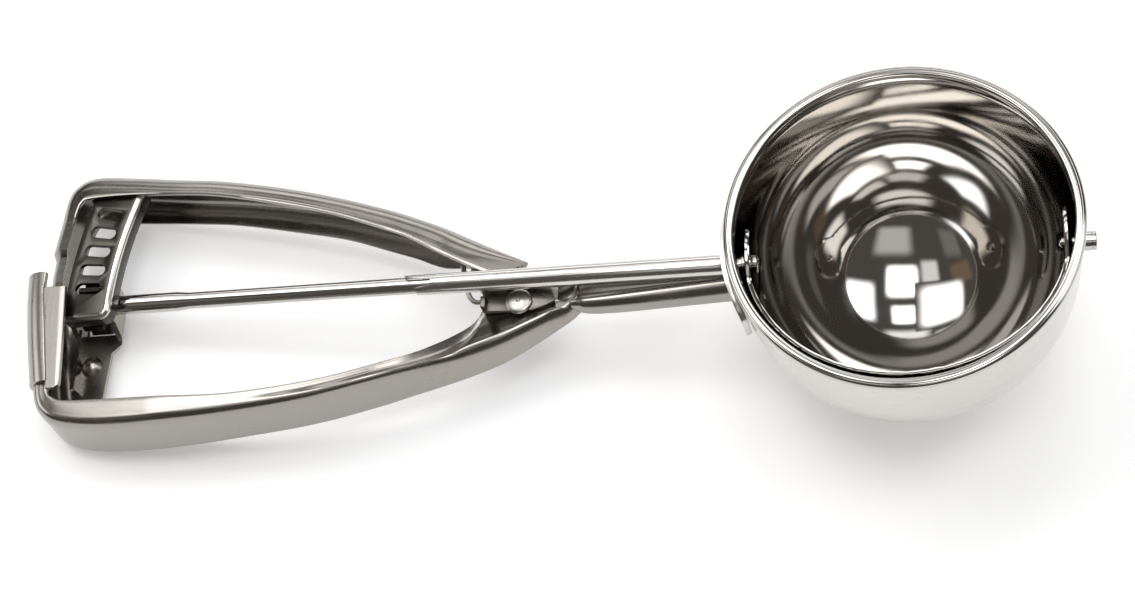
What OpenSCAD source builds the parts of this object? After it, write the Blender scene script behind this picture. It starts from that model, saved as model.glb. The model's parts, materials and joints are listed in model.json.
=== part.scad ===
// Squeeze-handle ice cream disher.
// Modelled in the tool's own frame: X runs along the drive rod towards the bowl, Z is the
// bowl's mouth, and the bowl's sphere is centred on the origin. place() then lays the
// finished tool on a table, resting on its bowl and on the far end of its handles.

/* [Bowl] */
// Outer radius of the bowl's sphere
bowl_r = 34; // [28:0.5:40]
// Thickness of the bowl's wall
bowl_wall = 1.2; // [0.8:0.1:2]
// Height of the rim above the drive rod
rim_z = 14.3; // [12:0.1:18]
// How far the rolled rim stands out from the bowl
rim_lip = 1; // [0.6:0.1:1.6]

/* [Sweeper] */
// Thickness of the sweeper blade
blade_t = 0.8; // [0.5:0.1:1.2]
// Width of the sweeper blade
blade_w = 9; // [6:0.5:11]
// Gap between the blade and the bowl
blade_gap = 0.4; // [0.3:0.05:0.6]
// Angle of the resting blade above the drive rod
blade_rest = 11; // [8:1:20]

/* [Drive] */
// Radius of the drive rod
rod_r = 1.8; // [1.6:0.1:2]
// Outer radius of the guide tube
tube_r = 2.2; // [2.15:0.05:2.3]
// Radius of a slot's middle around the handle pivot
rack_r = 93.5; // [93:0.5:94]
// Pitch radius of the pinion
pinion_r = 5.73; // [5.7:0.01:5.8]
// Number of teeth on the pinion
teeth = 8; // [8:1:8]
// Number of slots in the rack plate
slots = 5; // [4:1:5]

/* [Handles] */
// Sheet thickness of the handles
sheet = 1.2; // [1:0.1:1.4]
// Radius of the handles' outer corners
corner_r = 4.5; // [3:0.5:5]

/* [Hidden] */

$fn = 64;
eps = 0.01;
// fits
seat = 0.01;
run = 0.06;
// the handles' pivot, on the tool's plan
pivot = [-80.6, -3.5];
pivot_pin_r = 1.5;
// levels of the layers at the pivot, from the top down
web_top = -2.6;
pivot_plate_top = web_top - sheet;
pivot_plate_low = pivot_plate_top - sheet;
washer_t = 0.3;
lug_top = pivot_plate_low - washer_t;
lug_low = lug_top - sheet;
// the channels' top and bottom at the far end
plate_top = pinion_r + 0.92;
moving_top = plate_top + sheet;
moving_low = -6.6;
fixed_top = moving_top + 0.15;
fixed_low = -7.4;
guard_top = moving_top + 0.4 + sheet;
guard_low = -8.2;
// the channels' lowest bottom, beside the pivot
pan_low = -11.2;
// the rack plate hangs under the moving handle's flange
plate_t = 1;
plate_low = plate_top - plate_t;
slot_w = 2.6;
slot_l = 6;
slot_step = 360 / teeth * pinion_r / rack_r;
// direction from the pivot to the pinion's middle, on the plan
mesh_angle = 180 - asin(-pivot[1] / rack_r);
// lead of the first slot over the pinion's top
first_lead = 12 * pinion_r / rack_r;
// stations along the drive rod, from the pinion's middle
pinion_mid_x = pivot[0] - sqrt(rack_r * rack_r - pivot[1] * pivot[1]);
pinion_x = [pinion_mid_x - 2.3, pinion_mid_x + 2.3];
ear_left_x = [pinion_mid_x - 6.5, pinion_mid_x - 5.3];
ear_right_x = [pinion_mid_x + 3, pinion_mid_x + 4.2];
rod_end_x = pinion_mid_x - 8.1;
tube_end_x = -105;
tooth_tip_r = 6.2;
tooth_root_r = 4.5;
// the blade is a strip of a sphere inside the bowl
rim_r = bowl_r + rim_lip;
bowl_in_r = bowl_r - bowl_wall;
blade_out_r = bowl_in_r - blade_gap;
blade_in_r = blade_out_r - blade_t;
stub_r = 1.2;
lug_r = 8.5;
// shank from the neck to the saddle plate
neck = [-68, -3.6, -5.3];
shank_end = [1 - bowl_r, -1.9, -5.3];
shank_r = 3.2;
shank_wall = 1;
saddle_r = bowl_r + 2.2;
// table pose: the bowl's bottom and the guard's lowest edge stand on the table
guard_x = pinion_mid_x - 10.57;
guard_end_x = guard_x - 4.4;
rest_tilt = asin((bowl_r + guard_low) / norm([guard_end_x, guard_low])) + 0.2;
rest_shift = [75.5, 0];

module place() {
    translate([rest_shift[0], rest_shift[1], bowl_r]) rotate([0, -rest_tilt, 0]) children();
}

// cylinder along X from x0 to x1
module bar(x0, x1, r) {
    translate([x0, 0, 0]) rotate([0, 90, 0]) cylinder(r = r, h = x1 - x0);
}

// fine ball with its seam turned away from the X axis
module ball(r) {
    rotate([0, 0, 90]) sphere(r = r, $fn = 240);
}

// bowl-like solid: half a sphere under a cylinder of the same radius
module cup(r, top) {
    intersection() {
        sphere(r = r, $fn = 96);
        translate([-r - 1, -r - 1, -r - 1]) cube([2 * r + 2, 2 * r + 2, r + 1]);
    }
    cylinder(r = r, h = top, $fn = 96);
}

// points on a quarter of a circle, from angle a to angle b
function quarter(c, r, a, b, n = 5) =
    [for (i = [0 : n]) let (t = a + (b - a) * i / n) c + r * [cos(t), sin(t)]];

// outline of a folded channel: u runs from the flange's free edge to the outer wall, and the
// fold stands higher than that edge by rise
function channel(w, edge_top, low, r, skip, rise = 0) =
    let (
        top = edge_top + rise,
        rt = min(r - 0.35 * rise, (top - low) / 2 - 0.1, w - 0.3),
        foot = 0.72 * (w - rt),
        rb = min(rt, w - max(skip, 0) - 0.02),
        it = max(rt - sheet, 0.15),
        ib = max(rb - sheet, 0.15)
    )
    concat(
        [[0, edge_top], [foot, edge_top]],
        quarter([w - rt, top - rt], rt, 90, 0),
        quarter([w - rb, low + rb], rb, 0, -90),
        [[skip, low], [skip, low + sheet]],
        quarter([w - sheet - ib, low + sheet + ib], ib, -90, 0),
        quarter([w - sheet - it, top - sheet - it], it, 0, 90),
        [[foot - min(rise, sheet) / 2, edge_top - sheet], [0, edge_top - sheet]]
    );

// a smooth run of stations through the key stations
function blend(a, b, c, d, t) =
    0.5 * (2 * b + (c - a) * t + (2 * a - 5 * b + 4 * c - d) * t * t
        + (3 * b - a - 3 * c + d) * t * t * t);
function stations(keys, n) =
    let (last = len(keys) - 1)
    concat(
        [for (i = [0 : last - 1]) for (j = [0 : n - 1])
            blend(keys[max(i - 1, 0)], keys[i], keys[i + 1], keys[min(i + 2, last)], j / n)],
        [keys[last]]
    );

// triangles between two rings of n points that start at a and b
function skin(a, b, n) =
    [for (j = [0 : n - 1]) let (k = (j + 1) % n)
        for (f = [[a + j, a + k, b + k], [a + j, b + k, b + j]]) f];

// triangles that close a channel's end, from its outer line to its inner line
function channel_cap(a, n) =
    [for (j = [0 : n / 2 - 2]) for (f = [[a + j, a + n - 1 - j, a + j + 1],
        [a + j + 1, a + n - 1 - j, a + n - 2 - j]]) f];

function flipped(faces, flip) = flip ? [for (f = faces) [f[0], f[2], f[1]]] : faces;

// a channel swept through stations [edge x, edge y, wall x, wall y, top, bottom, lower edge,
// rise]; mirrored is true where the wall lies to the right of the path
module swept_channel(rows, r, highest, mirrored = false) {
    count = len(channel(5, 5, -5, r, 0));
    function rise(s) = len(s) > 7 ? s[7] : 0;
    points = [for (s = rows)
        let (across = [s[2] - s[0], s[3] - s[1]], w = norm(across), dir = across / w)
        for (p = channel(w, min(s[4], highest), s[5], r, s[6], rise(s)))
            [s[0] + dir[0] * p[0], s[1] + dir[1] * p[0], p[1]]];
    m = len(rows);
    sides = [for (i = [0 : m - 2]) for (f = skin(i * count, (i + 1) * count, count)) f];
    ends = concat(channel_cap(0, count), flipped(channel_cap((m - 1) * count, count), true));
    polyhedron(points, flipped(concat(sides, ends), mirrored));
}

// a round wire swept along a path of points
module wire(path, r, sides = 8) {
    m = len(path);
    points = [for (i = [0 : m - 1])
        let (
            d = path[min(i + 1, m - 1)] - path[max(i - 1, 0)],
            t = d / norm(d),
            side = cross(t, [0, 0, 1]),
            u = side / norm(side),
            v = cross(t, u)
        )
        for (k = [0 : sides - 1]) path[i] + r * (cos(360 * k / sides) * u + sin(360 * k / sides) * v)];
    walls = flipped([for (i = [0 : m - 2]) for (f = skin(i * sides, (i + 1) * sides, sides)) f], true);
    first = [for (k = [0 : sides - 1]) k];
    end = [for (k = [sides - 1 : -1 : 0]) (m - 1) * sides + k];
    polyhedron(points, concat(walls, [first, end]));
}

// ring sector around the handles' pivot, on the plan
module ring_sector(r0, r1, a0, a1) {
    steps = 12;
    polygon(concat(
        [for (i = [0 : steps]) let (a = a0 + (a1 - a0) * i / steps) pivot + r0 * [cos(a), sin(a)]],
        [for (i = [steps : -1 : 0]) let (a = a0 + (a1 - a0) * i / steps) pivot + r1 * [cos(a), sin(a)]]
    ));
}

// far stations are written from the pinion's middle
function from_pinion(keys) =
    [for (k = keys) [for (i = [0 : len(k) - 1]) k[i] + (i == 0 || i == 2 ? pinion_mid_x : 0)]];

// ---- the fixed body ----

fixed_keys = [
    [-68, -0.8, -68, -5.9, -2.8, -8.5, 0, 0],
    [-71, -0.2, -70.4, -7.8, lug_top, -9, 3, 1.8],
    [-74, 0.6, -75.4, -10.8, lug_top, -9.8, 7, 3.3],
    [-81.5, 1, -84, -15.4, lug_top, -10.6, 11, 4.5],
    [-87.3, -1.6, -91, -17.8, lug_top, pan_low, 11.5, 5.3],
    [-90.8, -7.4, -96.8, -19.5, lug_top, pan_low, 8, 5.4],
    [-99.4, -13, -104, -21.7, -3, -10.8, 5, 4.6],
    [-108.5, -17, -112, -24.4, 0, -10, 3.2, 2.7],
    [-122, -21.4, -125, -27.8, 3.2, -9, 1.8, 0.8],
    [-139, -24.6, -141, -30.4, 6.2, -8, 1, 0.2]
];
fixed_far_keys = [
    [19.03, -25.2, 18.03, -32.2, fixed_top, fixed_low, 0, 0],
    [6.03, -25.2, 4.63, -32.4, fixed_top, fixed_low, -1.6, 0],
    [-1.57, -25, -3.57, -31, fixed_top, fixed_low, -1.6, 0],
    [-4.17, -24, -7.77, -28.2, fixed_top, fixed_low, -1, 0],
    [-5.17, -22.8, -9.77, -24.8, fixed_top, fixed_low, 0, 0],
    [-5.57, -21, -10.57, -21, fixed_top, fixed_low, 0, 0]
];

module fixed_handle() {
    color("silver") difference() {
        swept_channel(stations(concat(fixed_keys, from_pinion(fixed_far_keys)), 4), corner_r, fixed_top);
        translate([pivot[0], pivot[1], lug_low - 2]) cylinder(r = pivot_pin_r + seat, h = 5);
    }
}

guard_keys = [
    [guard_x + 8.6, -21, guard_x, -21, guard_top, guard_low - 0.6, 2],
    [guard_x + 7.9, -12, guard_x - 1.9, -12, guard_top, guard_low - 0.35, 2],
    [guard_x + 7, -2, guard_x - 3.6, -2, guard_top, guard_low - 0.1, 2],
    [guard_x + 6.4, 4.6, guard_end_x, 4.6, guard_top, guard_low, 2]
];
tab_end_y = 0.9;

module end_guard() {
    color("silver") difference() {
        swept_channel(stations(guard_keys, 4), corner_r + 0.3, guard_top);
        // the upper flange stops short of the wall, and leaves a mouth for the moving handle
        translate([guard_end_x, tab_end_y, 4]) cube([20, 5, 8]);
        // relief beside the fixed handle's corner
        translate([guard_x + 4.4, -22, 6]) cube([20, 2, 6]);
    }
}

module shank() {
    turn = atan2(shank_end[1] - neck[1], shank_end[0] - neck[0]);
    length = shank_end[0] - neck[0];
    color("silver") difference() {
        translate(neck) rotate([0, 0, turn]) bar(-1, length, shank_r);
        translate(neck) rotate([0, 0, turn]) bar(-2, length + 2, shank_r - shank_wall);
        translate([neck[0] - 10, -20, -20]) cube([10, 40, 40]);
        cup(saddle_r, 10);
    }
}

saddle_half_y = 17;
saddle_half_z = 9.5;
saddle_mid_z = -0.5;
saddle_seat_y = 8;

module saddle_plate() {
    rim_points = [for (a = [0 : 10 : 350])
        [saddle_half_y * cos(a), saddle_mid_z + saddle_half_z * sign(sin(a)) * sqrt(abs(sin(a)))]];
    color("silver") difference() {
        intersection() {
            cup(saddle_r, 12);
            translate([-saddle_r - 10, 0, 0]) rotate([90, 0, 90]) linear_extrude(saddle_r - 6)
                polygon(rim_points);
        }
        cup(bowl_r, 14);
        // the plate's two wings stand off the bowl
        difference() {
            cup(bowl_r + 1, 14);
            translate([-60, -saddle_seat_y, -30]) cube([60, 2 * saddle_seat_y, 60]);
        }
        bar(-60, 0, tube_r + seat);
    }
}

rim_bead = 1;

module bowl() {
    color("whitesmoke") difference() {
        union() {
            cup(bowl_r, rim_z - rim_bead);
            translate([0, 0, rim_z - rim_bead]) rotate_extrude($fn = 96)
                translate([rim_r - rim_bead, 0]) circle(r = rim_bead, $fn = 24);
        }
        cup(bowl_in_r, rim_z + 2);
        bar(-bowl_r - 2, 0, tube_r + seat);
        bar(0, bowl_r + 2, pivot_pin_r + seat);
    }
}

nub_r = 1.95;
nub_x = bowl_r + 2.8;

module tip_pin() {
    color("silver") {
        difference() {
            bar(bowl_r - 2, nub_x, nub_r);
            ball(bowl_r);
            rotate([0, 0, 90]) cylinder(r = bowl_r, h = 4, $fn = 240);
        }
        bar(blade_out_r + 0.2, bowl_r + 1, pivot_pin_r);
        bar(blade_in_r - 1.2, bowl_r, stub_r - run);
        translate([blade_in_r - 1.2, 0, 0]) sphere(r = stub_r - run, $fn = 32);
    }
}

module guide_tube() {
    color("gainsboro") difference() {
        bar(tube_end_x, 4 - bowl_r, tube_r);
        bar(tube_end_x - 1, 14 - bowl_r, rod_r + run);
        cup(bowl_in_r, 20);
        // the far end is cut slantwise
        translate([tube_end_x, tube_r, 0]) rotate([0, 0, 35]) translate([-20, -20, -5]) cube([20, 40, 10]);
    }
}

bracket_low = fixed_low + sheet;
bracket_t = 1;
bracket_rivet_at = [pinion_mid_x - 0.6, -25.4];
bump_at = [pinion_mid_x - 2.6, -12, bracket_low];
ear_r = 4.2;
bend_r = 2.4;
bend_at = [ear_right_x[1] - bend_r, bracket_low + bend_r];

module rod_bracket() {
    module ear(x) {
        translate([x[0], 0, 0]) rotate([90, 0, 90]) linear_extrude(x[1] - x[0])
            union() {
                circle(r = ear_r);
                polygon([[-ear_r, 0], [ear_r, 0], [2.4, bracket_low], [-7, bracket_low]]);
            }
    }
    color("darkgray") difference() {
        union() {
            ear(ear_left_x);
            ear(ear_right_x);
            translate([0, 0, bracket_low]) linear_extrude(bracket_t)
                polygon([[ear_left_x[0], 2.4], [ear_left_x[0], -18], [pinion_mid_x - 4.2, -24],
                    [pinion_mid_x - 2.6, -26.6], [pinion_mid_x + 1.2, -26.6],
                    [pinion_mid_x + 0.8, -23], [pinion_mid_x + 1.6, -9], [ear_right_x[1], -6.6],
                    [ear_right_x[1], 2.4]]);
            // turned-up side flange
            translate([ear_left_x[0] + 0.6, -18, bracket_low]) cube([bracket_t, 14, 3.4]);
            // dome pressed up from the web
            translate([bump_at[0], bump_at[1], bump_at[2]]) rotate([0, 0, 90]) sphere(r = 2.6, $fn = 48);
        }
        translate(bump_at) rotate([0, 0, 90]) sphere(r = 1.6, $fn = 48);
        translate([bump_at[0], bump_at[1], bump_at[2] - 3]) cube([6, 6, 6], center = true);
        // window under the pinion
        translate([ear_left_x[1], -4.6, bracket_low - 1])
            cube([ear_right_x[0] - ear_left_x[1], 11.4, 4]);
        // rounded bend under the right ear
        difference() {
            translate([bend_at[0], -12, bracket_low - 1]) cube([4, 16, bend_at[1] - bracket_low + 1]);
            translate([bend_at[0], 5, bend_at[1]]) rotate([90, 0, 0]) cylinder(r = bend_r, h = 20);
        }
        bar(rod_end_x - 5, thick_x[1], rod_r + run);
        translate([bracket_rivet_at[0], bracket_rivet_at[1], bracket_low - 1])
            cylinder(r = 1 + seat, h = 4);
    }
}

module bracket_rivet() {
    color("silver") translate([bracket_rivet_at[0], bracket_rivet_at[1], 0]) {
        translate([0, 0, bracket_low]) cylinder(r = 1, h = bracket_t + 0.5);
        translate([0, 0, bracket_low + bracket_t]) cylinder(r1 = 1.7, r2 = 1.2, h = 0.7);
    }
}

rivet_head_r = 2.7;
collar_low = lug_low - 4.2;

module pivot_rivet() {
    color("gainsboro") translate([pivot[0], pivot[1], 0]) difference() {
        union() {
            translate([0, 0, collar_low - 0.8])
                cylinder(r = pivot_pin_r, h = pivot_plate_top - collar_low + 1);
            translate([0, 0, pivot_plate_top]) cylinder(r = rivet_head_r, h = 0.3);
            // low domed head
            intersection() {
                translate([0, 0, pivot_plate_top + 1.2 - 4.4]) sphere(r = 4.4, $fn = 64);
                translate([0, 0, pivot_plate_top + 0.3]) cylinder(r = rivet_head_r, h = 2);
            }
        }
        // small centre dimple
        translate([0, 0, pivot_plate_top + 1.2]) sphere(r = 0.35, $fn = 24);
    }
}

module pivot_washer() {
    color("gray") translate([pivot[0], pivot[1], lug_top]) difference() {
        cylinder(r = 3.4, h = washer_t);
        translate([0, 0, -1]) cylinder(r = pivot_pin_r + seat, h = 3);
    }
}

module rivet_collar() {
    color("gray") translate([pivot[0], pivot[1], collar_low - 0.8]) difference() {
        cylinder(r = 3, h = 0.8);
        translate([0, 0, -1]) cylinder(r = pivot_pin_r + seat, h = 3);
    }
}

coil_r = 4.3;
wire_r = 0.6;
coil_turns = 2;

// return spring: a coil around the rivet with a leg in each handle
module return_spring() {
    coil_top = lug_low - wire_r - 0.3;
    turns = 360 * coil_turns;
    centre = [pivot[0], pivot[1], 0];
    leg_up = [for (p = [[-14.8, 16.1, -8], [-14, 11.5, -7.9], [-12.8, 5.5, -7.7], [-11, 1.9, -7.5],
        [-8, 2.5, -7.4]]) centre + p];
    coil = [for (a = [0 : 20 : turns])
        [pivot[0] + coil_r * cos(a + 120), pivot[1] + coil_r * sin(a + 120), coil_top - 1.3 * a / 360]];
    last = coil[len(coil) - 1];
    leg_z = pan_low + sheet + wire_r + 0.4;
    leg_down = [last + [-4, -2.4, 0.2], centre + [-11.4, -9.2, leg_z],
        centre + [-25.4, -16.2, leg_z + 1]];
    color("lightgray") wire(concat(leg_up, coil, leg_down), wire_r);
}

// ---- the moving handle ----

moving_keys = [
    [-85, 1.6, -79.2, 5.6, web_top, -5.4, 5],
    [-92.5, 5.6, -88.8, 11.2, web_top, -10.6, 3],
    [-99.5, 9.4, -97.6, 16, web_top, -12.2, 0],
    [-106, 12.6, -105, 18.6, -0.8, -11.4, -0.8],
    [-111.5, 14.2, -111, 20.2, 1, -10.4, -0.8],
    [-121.5, 17.2, -121.5, 22.8, 3, -9, -0.8],
    [-133, 19.4, -133.5, 25, 5.2, -8, -0.8],
    [-146, 21.4, -146.5, 26.6, 7.2, -7, -0.6]
];
moving_far_keys = [
    [18.03, 22.2, 18.03, 27.4, moving_top, moving_low, -0.4],
    [6.03, 22.8, 7.03, 28.8, moving_top, moving_low, 0],
    [-2.37, 22.6, -2.27, 29.6, moving_top, moving_low, 1],
    [-3.97, 21.7, -6.77, 27.8, moving_top, moving_low, 2],
    [-4.57, 20, -8.77, 24.4, moving_top, moving_low, 3],
    [-5.17, 16, -9.57, 18, moving_top, moving_low, 3.2],
    [-5.87, 10.6, -10.27, 10.6, moving_top, moving_low + 0.4, 2.9]
];
// narrower end, which slides inside the guard
tongue_top = 6.2;
tongue_low = -5.8;
tongue_rows = [
    [-6.27, 9.4, -10.17, 9.4, tongue_top, tongue_low, 2.4],
    [-6.57, 5.6, -10.17, 5.6, tongue_top, tongue_low, 2.1],
    [-6.57, 1, -9.97, 1, tongue_top, tongue_low, 2]
];

module moving_handle() {
    keys = concat(moving_keys, from_pinion(moving_far_keys));
    color("silver") swept_channel(concat(stations(keys, 4), from_pinion(tongue_rows)), corner_r,
        moving_top, mirrored = true);
}

// flat plate welded under the moving handle's flange, which turns on the rivet
module pivot_plate() {
    outline = [[-11, 9.4], [-10.6, 5.1], [-8, 2.5], [-7.6, -1.7], [2.8, -1.9], [5.4, -1.1], [7.6, -0.1],
        [6.2, 4.3], [-1.2, 8.1], [-6.4, 8.9], [-10.2, 10.3]];
    color("gray") translate([pivot[0], pivot[1], pivot_plate_low]) difference() {
        union() {
            linear_extrude(sheet) polygon(outline);
            // upturned ear on the free edge
            translate([-7.8, -1.6, 0]) cube([1, 2.4, 2 * sheet + 1]);
        }
        translate([0, 0, -1]) cylinder(r = pivot_pin_r + run, h = 4);
    }
}

rack_in_r = rack_r - 5.5;
rack_out_r = rack_r + 4.8;
flange_low = 2.5;
rack_end_y = 23.7;

module rack_plate() {
    a0 = mesh_angle - 21;
    a1 = mesh_angle + 3.6;
    color("dimgray") difference() {
        union() {
            translate([0, 0, plate_low]) linear_extrude(plate_t) difference() {
                union() {
                    ring_sector(rack_in_r, rack_out_r, a0, a1);
                    translate([pinion_mid_x - 3, 20]) square([10.6, rack_end_y - 20]);
                }
                translate([pinion_mid_x - 11, rack_end_y]) square([30, 20]);
            }
            // turned-down flanges stiffen both long sides and the lower end
            translate([0, 0, flange_low]) linear_extrude(plate_low - flange_low + 0.5)
                ring_sector(rack_in_r, rack_in_r + plate_t, mesh_angle - 15, a1);
            translate([0, 0, plate_low - 1.6]) linear_extrude(2)
                ring_sector(rack_out_r - plate_t, rack_out_r, mesh_angle - 15, a1);
        }
        for (i = [0 : slots - 1])
            let (a = mesh_angle - first_lead - i * slot_step)
                translate([pivot[0] + rack_r * cos(a), pivot[1] + rack_r * sin(a), plate_low - 1])
                    rotate([0, 0, a]) linear_extrude(3) {
                        square([slot_l - slot_w, slot_w], center = true);
                        for (s = [-1, 1]) translate([s * (slot_l - slot_w) / 2, 0]) circle(d = slot_w);
                    }
    }
}

// ---- the rotor ----

thick_x = [ear_right_x[1] + 0.3, ear_right_x[1] + 13.9];
thick_r = 2.1;

module drive_rod() {
    color("gainsboro") {
        difference() {
            union() {
                bar(rod_end_x, 1.4 - blade_out_r, rod_r);
                bar(thick_x[0], thick_x[1], thick_r);
                translate([thick_x[1], 0, 0]) rotate([0, 90, 0])
                    cylinder(r1 = thick_r, r2 = rod_r, h = 3);
            }
            sphere(r = blade_out_r, $fn = 96);
        }
        bar(-blade_out_r - 0.5, -blade_in_r + 0.9, stub_r);
    }
}

module pinion() {
    tip_half = 0.55;
    root_half = 1.25;
    color("gray") translate([pinion_x[0], 0, 0]) rotate([90, 0, 90])
        linear_extrude(pinion_x[1] - pinion_x[0]) difference() {
            union() {
                circle(r = tooth_root_r + 0.1);
                for (i = [0 : teeth - 1])
                    rotate(78 + i * 360 / teeth)
                        polygon([[0, -root_half], [tooth_root_r, -root_half], [tooth_tip_r, -tip_half],
                            [tooth_tip_r, tip_half], [tooth_root_r, root_half], [0, root_half]]);
            }
            circle(r = rod_r + seat);
        }
}

module pinion_spacer() {
    color("gainsboro") difference() {
        bar(ear_left_x[1] + 0.3, pinion_x[0], 3);
        bar(rod_end_x - 5, thick_x[1], rod_r + seat);
    }
}

module rod_end_clip() {
    color("gray") difference() {
        bar(ear_left_x[0] - 1.1, ear_left_x[0] - 0.3, 2.9);
        bar(rod_end_x - 5, thick_x[1], rod_r + seat);
    }
}

module sweeper_blade() {
    color("gainsboro") rotate([-blade_rest, 0, 0]) difference() {
        intersection() {
            sphere(r = blade_out_r, $fn = 96);
            union() {
                translate([-50, -50, -blade_w / 2]) cube([100, 50, blade_w]);
                bar(-50, 50, lug_r);
            }
        }
        sphere(r = blade_in_r, $fn = 96);
        bar(0, 50, stub_r);
        bar(-50, 0, stub_r + seat);
    }
}

module blade_cap() {
    color("silver") difference() {
        intersection() {
            bar(-blade_in_r - 1, -blade_in_r + 0.9, 2);
            ball(blade_in_r);
        }
        bar(-50, 0, stub_r + seat);
    }
}

place() fixed_handle();
place() end_guard();
place() shank();
place() saddle_plate();
place() bowl();
place() tip_pin();
place() guide_tube();
place() rod_bracket();
place() bracket_rivet();
place() pivot_rivet();
place() pivot_washer();
place() rivet_collar();
place() return_spring();
place() moving_handle();
place() pivot_plate();
place() rack_plate();
place() drive_rod();
place() pinion();
place() pinion_spacer();
place() rod_end_clip();
place() sweeper_blade();
place() blade_cap();
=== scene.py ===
"""Stainless squeeze-handle ice cream disher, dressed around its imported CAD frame.

Pieces are modelled in millimetres in the tool's own frame (X along the drive rod towards the
bowl, Z out of the bowl's mouth) and then laid on the table with the frame's own tilt.
"""
import json
import math
import bpy
from mathutils import Matrix, Vector


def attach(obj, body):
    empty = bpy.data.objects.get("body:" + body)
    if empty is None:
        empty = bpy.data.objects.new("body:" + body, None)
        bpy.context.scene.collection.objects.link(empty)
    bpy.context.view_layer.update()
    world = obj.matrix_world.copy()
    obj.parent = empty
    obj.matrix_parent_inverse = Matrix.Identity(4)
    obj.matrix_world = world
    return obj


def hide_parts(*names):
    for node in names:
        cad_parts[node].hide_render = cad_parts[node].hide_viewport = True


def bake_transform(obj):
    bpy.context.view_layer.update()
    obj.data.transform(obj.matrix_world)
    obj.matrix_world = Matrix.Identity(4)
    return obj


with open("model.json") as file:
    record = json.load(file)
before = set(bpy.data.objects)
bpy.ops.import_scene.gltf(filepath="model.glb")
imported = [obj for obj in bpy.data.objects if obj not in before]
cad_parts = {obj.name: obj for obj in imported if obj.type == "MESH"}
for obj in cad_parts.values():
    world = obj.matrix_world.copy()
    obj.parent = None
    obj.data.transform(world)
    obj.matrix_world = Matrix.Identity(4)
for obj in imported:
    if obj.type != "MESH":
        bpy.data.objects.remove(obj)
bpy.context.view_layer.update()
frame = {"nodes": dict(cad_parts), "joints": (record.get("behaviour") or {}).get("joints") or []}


# ---- studio ----
# White paper on a lit table, soft window light above it and a dim room around it. The camera
# looks down on the tool from the front.

def linear(code):
    """sRGB hex to the linear colour that a shader socket takes."""
    parts = [int(code[i:i + 2], 16) / 255 for i in (1, 3, 5)]
    return [c / 12.92 if c <= 0.04045 else ((c + 0.055) / 1.055) ** 2.4 for c in parts] + [1.0]


def add_node(tree, kind, settings=None, **links):
    """One node with its properties, its constant sockets and its incoming links."""
    node = tree.nodes.new(kind)
    for key, value in (settings or {}).items():
        setattr(node, key, value)
    for key, value in links.items():
        socket = node.inputs[int(key[1:])] if key[0] == "n" and key[1:].isdigit() \
            else node.inputs[key.replace("_", " ")]
        if isinstance(value, bpy.types.NodeSocket):
            tree.links.new(value, socket)
        else:
            socket.default_value = value
    return node


camera = bpy.data.cameras.new("camera")
camera.lens = 65.3394
camera.sensor_width = 36
camera.clip_start = 0.01
camera_rig = bpy.data.objects.new("camera", camera)
camera_rig.location = (0.04690659, -0.1842249, 0.40619934)
camera_rig.rotation_euler = [math.radians(a) for a in (25.26155629, 4.97868912, 2.13727633)]
bpy.context.scene.collection.objects.link(camera_rig)
bpy.context.scene.camera = camera_rig
bpy.context.scene.view_settings.view_transform = "Standard"

room = bpy.data.worlds.new("dim room")
bpy.context.scene.world = room
room.use_nodes = True
room.node_tree.nodes["Background"].inputs["Color"].default_value = linear("#8C8681")
room.node_tree.nodes["Background"].inputs["Strength"].default_value = 0.4


# share of a softbox's side over which its diffuser falls off to dark
FEATHER = 0.25
# height of the windows over the table, in metres
WINDOW_Z = 0.9


def softbox(name, place, target, size, radiance, tint="#FFFFFF"):
    """A rectangular softbox of the given radiance that looks at target, in metres."""
    light = bpy.data.lights.new(name, "AREA")
    light.shape = "RECTANGLE"
    light.size, light.size_y = size
    light.color = linear(tint)[:3]
    light.energy = radiance * math.pi * size[0] * size[1]
    light.use_nodes = True
    tree = light.node_tree
    face = add_node(tree, "ShaderNodeNewGeometry").outputs["Parametric"]
    parts = add_node(tree, "ShaderNodeSeparateXYZ", n0=face)
    sides = []
    for axis in (0, 1):
        off = add_node(tree, "ShaderNodeMath", {"operation": "SUBTRACT"},
                       n0=parts.outputs[axis], n1=0.5)
        off = add_node(tree, "ShaderNodeMath", {"operation": "ABSOLUTE"}, n0=off.outputs[0])
        sides.append(add_node(tree, "ShaderNodeMapRange", {"interpolation_type": "SMOOTHSTEP"},
                              n0=off.outputs[0], n1=0.5, n2=0.5 - FEATHER, n3=0.0, n4=1.0))
    glow = add_node(tree, "ShaderNodeMath", {"operation": "MULTIPLY"},
                    n0=sides[0].outputs[0], n1=sides[1].outputs[0])
    tree.links.new(glow.outputs[0], tree.nodes["Emission"].inputs["Strength"])
    box = bpy.data.objects.new(name, light)
    box.location = place
    box.rotation_euler = (Vector(target) - Vector(place)).to_track_quat("-Z", "Y").to_euler()
    bpy.context.scene.collection.objects.link(box)


def overhead(name, low, high, radiance, tint="#FFFFFF"):
    """A softbox that faces down, over a rectangle of the table, in metres."""
    x, y = (low[0] + high[0]) / 2, (low[1] + high[1]) / 2
    # aimed a hair off straight down, so that its sides have a settled direction
    softbox(name, (x, y, WINDOW_Z), (x, y + 1e-4, 0),
            (high[0] - low[0], high[1] - low[1]), radiance, tint)


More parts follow.
